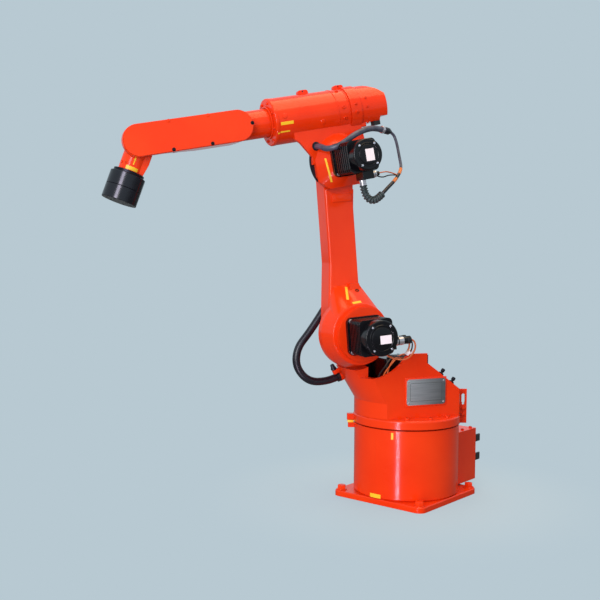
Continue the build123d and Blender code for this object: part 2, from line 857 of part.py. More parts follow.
# Forearm: a neck, a rounded body and a fork round the wrist
neck_radius = 48
neck_start = barrel_front + front_ring_length + seat_gap
forearm_rear_centre = 348
forearm_near_face = 64
forearm_far_face = -58
forearm_half_height = 52
fork_depth = 100
fork_gap = 90
cover_end_shift = 18
far_arm_radius = 41
far_arm_taper_start = 470
fork_start = wrist_reach - fork_depth
near_arm_end = wrist_reach + cover_end_shift
with BuildPart() as forearm_body:
    with BuildSketch(across(elbow_frame, neck_start)):
        with Locations((0, forearm_rise)):
            Circle(neck_radius)
    extrude(amount=forearm_rear_centre - neck_start)
    with BuildSketch(side(elbow_frame, forearm_near_face)):
        with Locations(((forearm_rear_centre + near_arm_end) / 2, forearm_rise)):
            SlotCenterToCenter(near_arm_end - forearm_rear_centre, 2 * forearm_half_height)
    extrude(amount=forearm_near_face)
    # The far half tapers to a smaller fork arm
    with BuildSketch(side(elbow_frame)):
        with BuildLine():
            Polyline(
                (forearm_rear_centre, forearm_rise + forearm_half_height),
                (far_arm_taper_start, forearm_rise + forearm_half_height),
                (wrist_reach, forearm_rise + far_arm_radius),
                (wrist_reach, forearm_rise - far_arm_radius),
                (far_arm_taper_start, forearm_rise - forearm_half_height),
                (forearm_rear_centre, forearm_rise - forearm_half_height),
                close=True,
            )
        make_face()
        with Locations((wrist_reach, forearm_rise)):
            Circle(far_arm_radius)
        with Locations((forearm_rear_centre, forearm_rise)):
            Circle(forearm_half_height)
    extrude(amount=-forearm_far_face)
    with BuildSketch(level(elbow_frame, forearm_rise - forearm_half_height - overrun)):
        with Locations((fork_start + fork_depth, 0)):
            Rectangle(2 * fork_depth, fork_gap)
    extrude(amount=2 * forearm_half_height + 2 * overrun, mode=Mode.SUBTRACT)
keep(forearm_body, "forearm_body")

# Side covers of the forearm, the far one shorter
side_cover_thickness = 8
side_cover_margin = 2
far_cover_end = 520
far_cover_margin = 8
covers = (
    ("forearm_cover_left", forearm_near_face, near_arm_end, side_cover_margin, -side_cover_thickness),
    ("forearm_cover_right", forearm_far_face, far_cover_end, far_cover_margin, side_cover_thickness),
)
for cover_name, cover_seat, cover_end, cover_margin, cover_growth in covers:
    with BuildPart() as forearm_cover:
        with BuildSketch(side(elbow_frame, cover_seat)):
            with Locations(((forearm_rear_centre + cover_end) / 2, forearm_rise)):
                SlotCenterToCenter(
                    cover_end - forearm_rear_centre, 2 * (forearm_half_height - cover_margin))
        extrude(amount=cover_growth)
    keep(forearm_cover, cover_name)

# Wrist housing, hung in the fork, with a bulge behind its neck
wrist_radius = 44
wrist_half_width = fork_gap / 2 - running_gap
wrist_pivot_radius = 30
wrist_neck_radius = 38
wrist_flange_thickness = 10
bulge_half_width = 28
bulge_back = 47
bulge_start = 34
bulge_end = 66
bulge_foot_back = 40
neck_end = tool_reach - wrist_flange_thickness - seat_gap
with BuildPart() as wrist_housing:
    with BuildSketch(side(wrist_frame, wrist_half_width)):
        Circle(wrist_radius)
    extrude(amount=2 * wrist_half_width)
    # Pivot bosses that reach the fork
    with BuildSketch(side(wrist_frame, fork_gap / 2 - seat_gap)):
        Circle(wrist_pivot_radius)
    extrude(amount=2 * (fork_gap / 2 - seat_gap))
    with BuildSketch(across(wrist_frame, 0)):
        Circle(wrist_neck_radius)
    extrude(amount=neck_end)
    with BuildSketch(side(wrist_frame, bulge_half_width)):
        with BuildLine():
            Polyline(
                (0, 0),
                (0, -wrist_radius + running_gap),
                (bulge_start, -bulge_back),
                (bulge_end, -bulge_back),
                (neck_end, -bulge_foot_back),
                (neck_end, 0),
                close=True,
            )
        make_face()
    extrude(amount=2 * bulge_half_width)
keep(wrist_housing, "wrist_housing")

# Tool flange and the two discs bolted to it
tool_flange_radius = 50
tool_disc_radius = 57.5
tool_disc_height = 45
tool_disc_edge = 1.2
with BuildPart() as tool_flange:
    with BuildSketch(across(wrist_frame, tool_reach - wrist_flange_thickness)):
        Circle(tool_flange_radius)
    extrude(amount=wrist_flange_thickness)
keep(tool_flange, "tool_flange")
for disc_place, disc_name in ((0, "tool_disc_upper"), (1, "tool_disc_lower")):
    with BuildPart() as tool_disc:
        with BuildSketch(across(wrist_frame, tool_reach + disc_place * tool_disc_height)):
            Circle(tool_disc_radius)
        extrude(amount=tool_disc_height)
        chamfer(tool_disc.edges().filter_by(GeomType.CIRCLE), tool_disc_edge)
    keep(tool_disc, disc_name)
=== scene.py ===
import math

import bmesh
import bpy
from mathutils import Matrix, Vector
from mathutils.bvhtree import BVHTree


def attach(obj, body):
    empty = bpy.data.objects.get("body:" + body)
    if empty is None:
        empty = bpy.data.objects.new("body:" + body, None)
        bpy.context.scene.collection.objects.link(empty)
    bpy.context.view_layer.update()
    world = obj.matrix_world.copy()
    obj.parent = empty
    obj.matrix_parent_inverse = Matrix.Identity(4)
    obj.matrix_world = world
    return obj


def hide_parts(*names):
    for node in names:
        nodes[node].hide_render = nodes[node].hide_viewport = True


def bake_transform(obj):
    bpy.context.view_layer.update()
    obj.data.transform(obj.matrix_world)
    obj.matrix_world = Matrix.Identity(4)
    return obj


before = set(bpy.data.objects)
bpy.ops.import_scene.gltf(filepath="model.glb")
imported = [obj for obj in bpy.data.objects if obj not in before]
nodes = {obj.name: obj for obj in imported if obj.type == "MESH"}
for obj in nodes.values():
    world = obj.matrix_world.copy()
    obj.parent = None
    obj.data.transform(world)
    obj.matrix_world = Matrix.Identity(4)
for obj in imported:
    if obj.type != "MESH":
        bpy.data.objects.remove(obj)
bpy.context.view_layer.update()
scene = bpy.context.scene

# Camera, placed and turned as the one that took the photograph: from the front left,
# just above the shoulder joint's height, looking slightly down and past the arm.
camera_back = Vector((0.7649, 0.6420, 0.0530)).normalized()
camera_level_right = Vector((-0.6429, 0.7660, 0.0)).normalized()
camera_level_up = camera_back.cross(camera_level_right)
camera_roll = math.radians(0.464)
camera_right = math.cos(camera_roll) * camera_level_right + math.sin(camera_roll) * camera_level_up
camera_up = math.cos(camera_roll) * camera_level_up - math.sin(camera_roll) * camera_level_right
camera_data = bpy.data.cameras.new("camera")
camera_data.sensor_width = 36
camera_data.lens = 54.63
camera = bpy.data.objects.new("camera", camera_data)
scene.collection.objects.link(camera)
camera_turn = Matrix((camera_right, camera_up, camera_back)).transposed()
camera.matrix_world = Matrix.Translation((2.8014, 1.8352, 0.8902)) @ camera_turn.to_4x4()
scene.camera = camera
scene.view_settings.view_transform = "Standard"

# The moving bodies' frames at rest, in millimetres: the turret turned on the base, the lower arm
# hinged on the turret, the elbow on the lower arm and the wrist on the forearm.
metres = Matrix.Scale(0.001, 4)
base_frame = Matrix.Identity(4)


def carried(parent, x=0, y=0, z=0, tilt=0):
    """A frame at a point of another, tilted forward about its left-pointing axis."""
    return parent @ Matrix.Translation((x, y, z)) @ Matrix.Rotation(math.radians(tilt), 4, "Y")


turret_frame = Matrix.Rotation(math.radians(-28), 4, "Z")
lower_arm_frame = carried(turret_frame, 249, 0, 608.5, 5.1)
elbow_frame = carried(lower_arm_frame, 0, 0, 600, 6.1)
forearm_rise = 166
wrist_reach = 664
wrist_frame = carried(elbow_frame, wrist_reach, 0, forearm_rise, 59)


# Loop hose: smooth black rubber hose that takes the arm's cables past the shoulder joint. It leaves
# a gland on the arm's far side, hangs in a loop before the turret and ends in its clamped boss.
def colour(code):
    """An sRGB hex colour as linear RGBA."""
    parts = [int(code[i : i + 2], 16) / 255 for i in (1, 3, 5)]
    return [p / 12.92 if p <= 0.04045 else ((p + 0.055) / 1.055) ** 2.4 for p in parts] + [1]


def add(tree, kind, settings=None, links=None, ramp=None, **attributes):
    """A new node with its sockets, attributes and ramp's colours set, and its inputs linked."""
    made = tree.nodes.new("ShaderNode" + kind)
    for name, value in attributes.items():
        setattr(made, name, value)
    for name, value in (settings or {}).items():
        made.inputs[name].default_value = value
    for name, source in (links or {}).items():
        socket = source.outputs[0] if isinstance(source, bpy.types.Node) else source
        tree.links.new(socket, made.inputs[name])
    for index, (position, code) in enumerate((ramp or {}).items()):
        made.color_ramp.elements[index].position = position
        made.color_ramp.elements[index].color = colour(code)
    return made


def new_material(name):
    """An empty material, its node tree and its coordinates."""
    material = bpy.data.materials.new(name)
    material.use_nodes = True
    material.node_tree.nodes.clear()
    where = add(material.node_tree, "TexCoord")
    return material, material.node_tree, where.outputs["Object"]


def mottled(name, noise, settings, ramp=None, gloss=None, skin=None):
    """A material whose tone, gloss and skin, where given, follow one noise of a scale and detail."""
    material, tree, where = new_material(name)
    cloud = add(tree, "TexNoise", {"Scale": noise[0], "Detail": noise[1]}, {"Vector": where})
    links = {}
    if ramp:
        links["Base Color"] = add(tree, "ValToRGB", links={"Fac": cloud}, ramp=ramp)
    if gloss:
        bounds = {"To Min": gloss[0], "To Max": gloss[1]}
        links["Roughness"] = add(tree, "MapRange", bounds, {"Value": cloud})
    if skin:
        relief = {"Strength": skin[0], "Distance": skin[1]}
        links["Normal"] = add(tree, "Bump", relief, {"Height": cloud})
    shader = add(tree, "BsdfPrincipled", settings, links)
    add(tree, "OutputMaterial", links={"Surface": shader})
    return material


def curve_along(name, points, diameter=0.0):
    """A curve of one open NURBS spline with those control points, round where it has a diameter."""
    curve = bpy.data.curves.new(name, "CURVE")
    curve.dimensions = "3D"
    curve.resolution_u = 14
    curve.bevel_depth = diameter / 2
    curve.bevel_resolution = 6
    curve.use_fill_caps = True
    spline = curve.splines.new("NURBS")
    spline.points.add(len(points) - 1)
    for point, place in zip(spline.points, points):
        point.co = (*place, 1)
    spline.order_u = 3
    spline.use_endpoint_u = True
    return curve


def laid(name, points, diameter, material):
    """A round cord along those points, as an object of that material."""
    piece = bpy.data.objects.new(name, curve_along(name, points, diameter))
    scene.collection.objects.link(piece)
    piece.data.materials.append(material)
    return piece


def mesh_along(name, points, diameter=0.0):
    """The mesh of such a curve: its line alone, or the closed tube round it."""
    holder = bpy.data.objects.new(name, curve_along(name, points, diameter))
    mesh = bpy.data.meshes.new_from_object(holder)
    bpy.data.objects.remove(holder)
    return mesh


# Nitrile rubber, extruded: nearly black with a soft sheen and a faint dusty mottle
rubber = mottled(
    "extruded_rubber", (38.0, 5.0), {"Specular IOR Level": 0.55},
    ramp={0: "#0B0A14", 1: "#181722"}, gloss=(0.26, 0.44), skin=(0.08, 0.0006),
)

gland_frame = carried(lower_arm_frame, 2, -66, 140, 51.7)
hose_boss_frame = carried(turret_frame, 244, -66, 440, 22)
loop_hose_diameter = 0.028
loop_hose_places = (
    (gland_frame, (0, 0, 0)),
    (gland_frame, (90, 0, 0)),
    (turret_frame, (364, -66, 600)),
    (turret_frame, (410, -66, 546)),
    (turret_frame, (414, -66, 478)),
    (turret_frame, (363, -66, 423)),
    (hose_boss_frame, (46, 0, 0)),
    (hose_boss_frame, (10, 0, 0)),
)
loop_hose_points = [metres @ holder @ Vector(place) for holder, place in loop_hose_places]
loop_hose = bpy.data.objects.new(
    "loop_hose_rubber", mesh_along("loop_hose_rubber", loop_hose_points, loop_hose_diameter)
)
scene.collection.objects.link(loop_hose)
loop_hose.data.materials.append(rubber)
loop_hose.data.shade_smooth()
loop_hose_line = mesh_along("loop_hose_line", loop_hose_points)
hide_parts("loop_hose")
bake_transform(loop_hose)

# Conduit: grey PVC-sheathed tube for the elbow motor's cables. It comes out of its hole in the
# elbow casting, passes over the motor and ends in a sleeve with a band clamp.
sheath = mottled(
    "grey_pvc_sheath", (26.0, 3.0), {"Roughness": 0.36},
    ramp={0.32: "#2C2F3E", 0.72: "#50556A"}, skin=(0.06, 0.0006),
)

conduit_places = (
    (84, 48, 60),
    (84, 94, 58),
    (80, 134, 41),
    (42, 163, 46),
    (-16, 163, 74),
    (-70, 140, 86),
    (-120, 118, 88),
    (-176, 97, 71),
)
conduit_points = [metres @ elbow_frame @ Vector(place) for place in conduit_places]
conduit_diameter = 0.02
conduit = laid("conduit_sheath", conduit_points, conduit_diameter, sheath)
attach(conduit, "elbow")
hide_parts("conduit")


# The conduit's end: a pale clamp band and a short dark sleeve that the thinner cable comes out of,
# both pushed on the conduit and crimped.
def keep(name, shape, place, material, body, sharp=32):
    """Finish a shape as a piece: placed, smooth but for its sharp edges, riding on a body."""
    shape.transform(metres @ place)
    bmesh.ops.recalc_face_normals(shape, faces=shape.faces)
    for face in shape.faces:
        face.smooth = True
    for edge in shape.edges:
        edge.smooth = edge.calc_face_angle(0) < math.radians(sharp)
    mesh = bpy.data.meshes.new(name)
    shape.to_mesh(mesh)
    shape.free()
    mesh.materials.append(material)
    piece = bpy.data.objects.new(name, mesh)
    scene.collection.objects.link(piece)
    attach(piece, body)
    return piece


def turned(profile, steps=32):
    """A turned shape about the Z axis: (radius, height) points spun right round."""
    shape = bmesh.new()
    points = [shape.verts.new((radius, 0, height)) for radius, height in profile]
    lines = [shape.edges.new(pair) for pair in zip(points, points[1:])]
    bmesh.ops.spin(
        shape, geom=points + lines, cent=(0, 0, 0), axis=(0, 0, 1), angle=2 * math.pi,
        steps=steps, use_merge=True,
    )
    bmesh.ops.remove_doubles(shape, verts=shape.verts, dist=0.001)
    return shape


def aimed(place, direction):
    """A frame at a point with its Z axis along a direction."""
    return Matrix.Translation(place) @ direction.to_track_quat("Z", "Y").to_matrix().to_4x4()


def copies(shape, places):
    """One shape with a copy of the first at each place."""
    pattern = bpy.data.meshes.new("pattern")
    shape.to_mesh(pattern)
    shape.free()
    joined = bmesh.new()
    for place in places:
        known = len(joined.verts)
        joined.from_mesh(pattern)
        joined.verts.ensure_lookup_table()
        bmesh.ops.transform(joined, matrix=place, verts=joined.verts[known:])
    bpy.data.meshes.remove(pattern)
    return joined


# Zinc die-castings and nickel-plated brass: pale metal with a soft polish, a little uneven
nickel = mottled(
    "nickel_plated_brass", (60.0, 3.0), {"Metallic": 0.85},
    ramp={0: "#B9B4BC", 1: "#E8E5EA"}, gloss=(0.2, 0.38),
)

elbow_place = elbow_frame @ Vector(conduit_places[-1])
conduit_run = (elbow_place - elbow_frame @ Vector(conduit_places[-2])).normalized()
band_back = 26.5
conduit_sleeve = keep(
    "conduit_sleeve",
    turned(((0, -14), (11.2, -14), (11.8, -12), (11.8, 4), (10.8, 6), (8, 9), (6, 16), (0, 16))),
    aimed(elbow_place, conduit_run),
    rubber,
    "elbow",
)
conduit_band = keep(
    "conduit_band",
    turned(((9, -4.5), (12.4, -4.5), (12.9, -4), (12.9, 4), (12.4, 4.5), (9, 4.5), (9, -4.5))),
    aimed(elbow_place - band_back * conduit_run, conduit_run),
    nickel,
    "elbow",
)
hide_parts("conduit_clamp")

# Elbow cable: a grey rubber-sheathed lead from the conduit's end down to the elbow motor's plug,
# with a woven glass sleeve where its cores part, and a ribbed rubber boot at the plug.
boot_places = ((0, 199, -97), (0, 199, -136), (-34, 197, -158), (-68, 191, -136))
boot_points = [metres @ elbow_frame @ Vector(place) for place in boot_places]
boot_run = (boot_points[-1] - boot_points[-2]).normalized()
cable_straight = 0.028
cable_places = ((-204, 98, 26), (-192, 122, -24), (-182, 144, -66), (-138, 169, -98))
cable_points = [
    conduit_points[-1],
    conduit_points[-1] + cable_straight * conduit_run,
    *[metres @ elbow_frame @ Vector(place) for place in cable_places],
    boot_points[-1] + cable_straight * boot_run,
    boot_points[-1],
]
cable_diameter = 0.01
elbow_cable = laid("elbow_cable_sheath", cable_points, cable_diameter, sheath)
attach(elbow_cable, "elbow")
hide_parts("elbow_cable")

# Chloroprene rubber, moulded: dark grey-green with a dull sheen
boot_rubber = mottled(
    "moulded_rubber", (90.0, 4.0), {"Roughness": 0.48}, ramp={0: "#1F2A2B", 1: "#3C4A4B"}
)

# The boot's ribs are rings that grow and shrink along its line in a wave with cut tops
boot_line = mesh_along("cable_boot_line", boot_points)
boot_line_points = [vertex.co.copy() for vertex in boot_line.vertices]
boot_lengths = [0.0]
for here, there in zip(boot_line_points, boot_line_points[1:]):
    boot_lengths.append(boot_lengths[-1] + (there - here).length)
boot_radius = 0.0112
boot_rib_spacing = 0.0095
boot_rib_rise = 0.0019
boot_rib_cut = 0.6
boot_steps = 110
boot_shape = bmesh.new()
boot_rings = []
boot_ring_sides = 20
for step in range(boot_steps + 1):
    wanted = boot_lengths[-1] * step / boot_steps
    index = max(i for i, length in enumerate(boot_lengths[:-1]) if length <= wanted)
    share = (wanted - boot_lengths[index]) / (boot_lengths[index + 1] - boot_lengths[index])
    along = boot_line_points[index + 1] - boot_line_points[index]
    wave = math.sin(2 * math.pi * wanted / boot_rib_spacing)
    radius = boot_radius + boot_rib_rise * max(-boot_rib_cut, min(boot_rib_cut, wave)) / boot_rib_cut
    ring = bmesh.ops.create_circle(
        boot_shape, segments=boot_ring_sides, radius=radius,
        matrix=aimed(boot_line_points[index] + share * along, along),
    )["verts"]
    boot_rings.append({edge for vertex in ring for edge in vertex.link_edges})
for lower, upper in zip(boot_rings, boot_rings[1:]):
    bmesh.ops.bridge_loops(boot_shape, edges=list(lower | upper))
bmesh.ops.holes_fill(boot_shape, edges=boot_shape.edges)
cable_boot = keep("cable_boot_ribbed", boot_shape, metres.inverted(), boot_rubber, "elbow", 60)
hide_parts("cable_boot")

# Glass fibre braid, woven tubing: orange with the fine crossed lines of its braid. The real
# strands are 0.6 mm apart and are drawn at 1.5 mm, so that they show.
braid, tree, where = new_material("glass_braid")
lines = [
    add(tree, "TexWave", {"Scale": 210.0, "Distortion": 0.4}, {"Vector": where}, bands_direction=way)
    for way in ("X", "Z")
]
crossed = add(
    tree, "Math", links={0: lines[0].outputs["Fac"], 1: lines[1].outputs["Fac"]}, operation="MULTIPLY"
)
tone = add(tree, "ValToRGB", links={"Fac": crossed}, ramp={0: "#C8642C", 1: "#F2A55E"})
weave = add(tree, "Bump", {"Strength": 0.4, "Distance": 0.0004}, {"Height": crossed})
shader = add(tree, "BsdfPrincipled", {"Roughness": 0.6}, {"Base Color": tone, "Normal": weave})
add(tree, "OutputMaterial", links={"Surface": shader})


def stretch_of(line, first, last):
    """The part of a line's points between two shares of its length."""
    points = [vertex.co.copy() for vertex in line.vertices]
    gone = [0.0]
    for here, there in zip(points, points[1:]):
        gone.append(gone[-1] + (there - here).length)
    return [p for p, length in zip(points, gone) if first <= length / gone[-1] <= last]


cable_line = mesh_along("elbow_cable_line", cable_points)
sleeve_spans = (
    ("cable_sleeve_upper", 0.53, 0.63, 0.0118, braid),
    ("cable_joint_cover", 0.63, 0.70, 0.0112, rubber),
    ("cable_sleeve_lower", 0.70, 0.78, 0.0122, braid),
    ("cable_black_sleeve", 0.78, 0.985, 0.0124, rubber),
)
for name, first, last, diameter, material in sleeve_spans:
    sleeve = laid(name, stretch_of(cable_line, first, last), diameter, material)
    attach(sleeve, "elbow")


# Surroundings: a pale blue-grey floor and backdrop that meet without a line, even soft light from all
# round, and lamps that draw the pale streaks on the column, the barrel and the tool discs.
def seen_directly(tree, path):
    """One for a ray that comes from the camera or through glass, and nought for any other."""
    rays = {0: path.outputs["Is Camera Ray"], 1: path.outputs["Is Transmission Ray"]}
    return add(tree, "Math", links=rays, operation="MAXIMUM")


backdrop_code = "#B8C9D2"
world = bpy.data.worlds.new("studio")
scene.world = world
world.use_nodes = True
tree = world.node_tree
tree.nodes.clear()
path = add(tree, "LightPath")
rays = {0: seen_directly(tree, path), 1: path.outputs["Is Glossy Ray"]}
seen = add(tree, "Math", links=rays, operation="MAXIMUM")
around = add(tree, "Background", {"Color": colour("#F6F3EF"), "Strength": 0.86})
behind = add(tree, "Background", {"Color": colour(backdrop_code), "Strength": 1.0})
both = add(tree, "MixShader", links={0: seen, 1: around, 2: behind})
add(tree, "OutputWorld", links={"Surface": both})

# The floor shows a weak shadow near the object and is the backdrop's own colour further out. It
# throws little light back, so that undersides stay dark.
floor_mesh = bpy.data.meshes.new("floor")
floor_shape = bmesh.new()
bmesh.ops.create_circle(floor_shape, cap_ends=True, segments=64, radius=12)
floor_shape.to_mesh(floor_mesh)
floor_shape.free()
floor = bpy.data.objects.new("floor", floor_mesh)
scene.collection.objects.link(floor)
floor_paint, tree, where = new_material("studio_floor")
reach = add(tree, "VectorMath", links={0: where}, operation="LENGTH")
near = add(
    tree,
    "MapRange",
    {"From Min": 0.25, "From Max": 0.8, "To Min": 0.22, "To Max": 0.0},
    {"Value": reach.outputs["Value"]},
    interpolation_type="SMOOTHSTEP",
)
glow = add(tree, "Emission", {"Color": colour(backdrop_code), "Strength": 1.0})
matt = add(tree, "BsdfDiffuse", {"Color": colour(backdrop_code)})
dull = add(tree, "BsdfDiffuse", {"Color": colour("#686E72")})
both = add(tree, "MixShader", links={0: near, 1: glow, 2: matt})
seen = seen_directly(tree, add(tree, "LightPath"))
shown = add(tree, "MixShader", links={0: seen, 1: dull, 2: both})
add(tree, "OutputMaterial", links={"Surface": shown})
floor_mesh.materials.append(floor_paint)
# The low lamp stands below the floor, so the floor casts no shadow of its own
floor.visible_shadow = False

# Each lamp: where it stands, what it points at, its width, height, power and colour
lamps = (
    ("key_lamp", (3.15, 0.72, 2.05), (0.3, 0.0, 0.7), 0.85, 1.4, 32, "#EFE8FF"),
    ("fill_lamp", (3.6, 0.85, 1.0), (0.2, 0.0, 0.7), 1.6, 1.6, 50, "#FFFFFF"),
    ("top_lamp", (0.2, 0.4, 3.6), (0.2, 0.0, 0.5), 2.4, 2.4, 62, "#FFD9A0"),
    ("back_lamp", (-2.6, -1.8, 2.4), (0.1, 0.0, 0.7), 1.4, 1.8, 40, "#FFFFFF"),
    ("low_strip_lamp", (1.24, 0.38, -0.14), (0.0, 0.0, 0.15), 0.16, 0.6, 4.6, "#FFE4FF"),
)
for name, place, target, width, height, power, code in lamps:
    lamp_data = bpy.data.lights.new(name, "AREA")
    lamp_data.shape = "RECTANGLE"
    lamp_data.color = colour(code)[:3]
    lamp_data.size = width
    lamp_data.size_y = height
    lamp_data.energy = power
    # A ray that looks for the low lamp would end at the floor, so it is sampled by shadow rays alone
    lamp_data.cycles.use_multiple_importance_sampling = name != "low_strip_lamp"
    lamp = bpy.data.objects.new(name, lamp_data)
    scene.collection.objects.link(lamp)
    lamp.matrix_world = aimed(Vector(place), Vector(place) - Vector(target))
    lamp.visible_camera = False
    lamp.visible_glossy = name != "back_lamp"


# Castings: grey iron and aluminium, filled, sprayed with orange-red enamel and baked. The film is
# glossy with a fine ripple, softens every edge, and is a little duller where hands have been.
def painted(name, scale, ramp, edge, peel, ripple, gloss, settings):
    """Paint whose tone and gloss vary, and whose film rounds the edges and has a fine ripple."""
    material, tree, where = new_material(name)
    cloud = add(tree, "TexNoise", {"Scale": scale, "Detail": 4.0}, {"Vector": where})
    tone = add(tree, "ValToRGB", links={"Fac": cloud}, ramp=ramp)
    rounded = add(tree, "Bevel", {"Radius": edge}, samples=4)
    grain = add(tree, "TexNoise", peel, {"Vector": where})
    relief = {"Strength": ripple, "Distance": 0.0004}
    film = add(tree, "Bump", relief, {"Height": grain, "Normal": rounded})
    bounds = {"To Min": gloss[0], "To Max": gloss[1]}
    shine = add(tree, "MapRange", bounds, {"Value": cloud})
    links = {"Base Color": tone, "Roughness": shine, "Normal": film}
    shader = add(tree, "BsdfPrincipled", settings, links)
    add(tree, "OutputMaterial", links={"Surface": shader})
    return material


enamel = painted(
    "orange_enamel", 3.2, {0.35: "#DC3108", 0.65: "#E63C0E"}, 0.0022,
    {"Scale": 340.0, "Detail": 1.0}, 0.05, (0.22, 0.36),
    {"Coat Weight": 0.5, "Coat Roughness": 0.12, "Specular IOR Level": 0.06},
)


def dress(material, *names):
    """Give CAD nodes their finish."""
    for name in names:
        nodes[name].data.materials.clear()
        nodes[name].data.materials.append(material)


dress(enamel, *nodes)

# Anchor bolts: steel hexagon bolts on washers, painted over with the base plate
facing_left = Matrix.Rotation(math.radians(-90), 4, "X")
facing_right = Matrix.Rotation(math.radians(90), 4, "X")
facing_front = Matrix.Rotation(math.radians(90), 4, "Y")
facing_back = Matrix.Rotation(math.radians(-90), 4, "Y")
facing_down = Matrix.Rotation(math.radians(180), 4, "X")


def at(x, y, z, turn=base_frame):
    """A place within a body's frame, with the Z axis turned outward."""
    return Matrix.Translation((x, y, z)) @ turn


def hexagon_bolt(across, height, washer):
    """A hexagon bolt's head with its chamfered corners, on a washer."""
    seat = 2.6
    shape = turned(((0, 0), (washer, 0), (washer, 1.8), (washer - 0.8, seat), (0, seat)), 24)
    head = bmesh.ops.create_cone(
        shape, cap_ends=True, segments=6, radius1=across / math.sqrt(3), radius2=across / math.sqrt(3),
        depth=height, matrix=Matrix.Translation((0, 0, seat + height / 2)),
    )["verts"]
    edges = [e for v in head for e in v.link_edges if all(w.co.z > height for w in e.verts)]
    bmesh.ops.bevel(
        shape, geom=list(set(edges)), offset=height / 9, affect="EDGES", segments=2, profile=0.5,
        material=-1,
    )
    return shape


anchor_places = [at(x, y, 20) for x in (-168, 168) for y in (-168, 168)]
keep("anchor_bolts", copies(hexagon_bolt(27, 15, 20), anchor_places), base_frame, enamel, "base")


# Stickers: bare yellow vinyl on the column's foot, at the zero marks of the joints and on the barrel
# and the wrist. Cut from sheet and stuck on after painting.
def block(length, width, height, edge, segments=2):
    """A box about its own centre, with its edges rounded."""
    shape = bmesh.new()
    bmesh.ops.create_cube(shape, size=1, matrix=Matrix.Diagonal((length, width, height, 1)))
    bmesh.ops.bevel(
        shape, geom=shape.edges[:], offset=edge, affect="EDGES", segments=segments, profile=0.5,
        material=-1,
    )
    return shape


def wrapped(radius, thickness, low, high, start, turn, steps=10):
    """A thin band round the Z axis, from one height to another and through part of a turn."""
    shape = bmesh.new()
    ring = [(radius, low), (radius + thickness, low), (radius + thickness, high), (radius, high)]
    points = [shape.verts.new((r, 0, z)) for r, z in ring]
    lines = [shape.edges.new(pair) for pair in zip(points, points[1:] + points[:1])]
    bmesh.ops.rotate(shape, verts=points, matrix=Matrix.Rotation(math.radians(start), 3, "Z"))
    bmesh.ops.spin(
        shape, geom=points + lines, cent=(0, 0, 0), axis=(0, 0, 1), angle=math.radians(turn),
        steps=steps,
    )
    bmesh.ops.holes_fill(shape, edges=shape.edges)
    return shape


def arrow(length, width, thickness):
    """A flat arrow that points along X, its tail at the origin."""
    shape = bmesh.new()
    half = width / 2
    outline = (
        (0, -half / 2.4), (length * 0.6, -half / 2.4), (length * 0.6, -half), (length, 0),
        (length * 0.6, half), (length * 0.6, half / 2.4), (0, half / 2.4),
    )
    face = shape.faces.new([shape.verts.new((x, y, 0)) for x, y in outline])
    raised = bmesh.ops.extrude_face_region(shape, geom=[face])["geom"]
    raised = [item for item in raised if isinstance(item, bmesh.types.BMVert)]
    bmesh.ops.translate(shape, verts=raised, vec=(0, 0, thickness))
    return shape


# Calendered PVC film: strong yellow, smooth, slightly faded in patches
vinyl = mottled(
    "yellow_vinyl", (45.0, 3.0), {"Roughness": 0.4}, ramp={0: "#E2AE12", 1: "#F6CB2C"}
)

about_forearm = carried(elbow_frame, 0, 0, forearm_rise) @ facing_front
about_wrist = wrist_frame @ facing_front
# The curved stickers: the frame whose Z axis they go round, radius, from, to, start angle, turn
curved_stickers = (
    ("column_sticker", base_frame, 191, 23, 37, -7.5, 13.8, "base"),
    ("column_mark", base_frame, 191, 238, 261, 17.4, 2.4, "base"),
    ("barrel_sticker", about_forearm, 79, 157, 203, 75, 7.5, "elbow"),
    ("barrel_mark_front", about_forearm, 80, 208.5, 215, 54, 4, "elbow"),
    ("barrel_mark_rear", about_forearm, 79, 171, 206, 56, 4, "elbow"),
    ("wrist_sticker", about_wrist, 38, 91, 103, 62, 62, "wrist"),
)
for name, holder, radius, low, high, start, turn, body in curved_stickers:
    keep(name, wrapped(radius, 0.35, low, high, start, turn), holder, vinyl, body)

# The shoulder's marks lie on the slope between the arm's face and its motor's seat
shoulder_slope = Vector((0, 0.605, 0.796))
shoulder_marks = (
    ("shoulder_mark_upright", 9, (9.8, 49.5, 161.3), (30, 99.7, 121.6)),
    ("shoulder_mark_level", 10, (-12, 116, 111.4), (20, 116, 109.2)),
)
for name, width, first, last in shoulder_marks:
    run = Vector(last) - Vector(first)
    across = run.normalized().cross(shoulder_slope).normalized()
    turn = Matrix((across, run.normalized(), across.cross(run.normalized()))).transposed().to_4x4()
    middle = Matrix.Translation((Vector(first) + Vector(last)) / 2)
    sticker = block(width, run.length, 1.2, 0.15, 1)
    keep(name, sticker, lower_arm_frame @ middle @ turn, vinyl, "lower_arm")
keep(
    "wrist_arrow", arrow(26, 9, 0.4),
    wrist_frame @ at(84, 38.2, 2, facing_left @ Matrix.Rotation(math.pi, 4, "Z")), vinyl, "wrist",
)

# The zero mark's plate sits on the base, in the direction that the turret's mark stands at rest
zero_plate_frame = turret_frame @ Matrix.Rotation(math.radians(-22), 4, "Z")
keep("zero_mark_plate", block(22, 24, 9, 1), zero_plate_frame @ at(206, 0, 270.6), vinyl, "base")


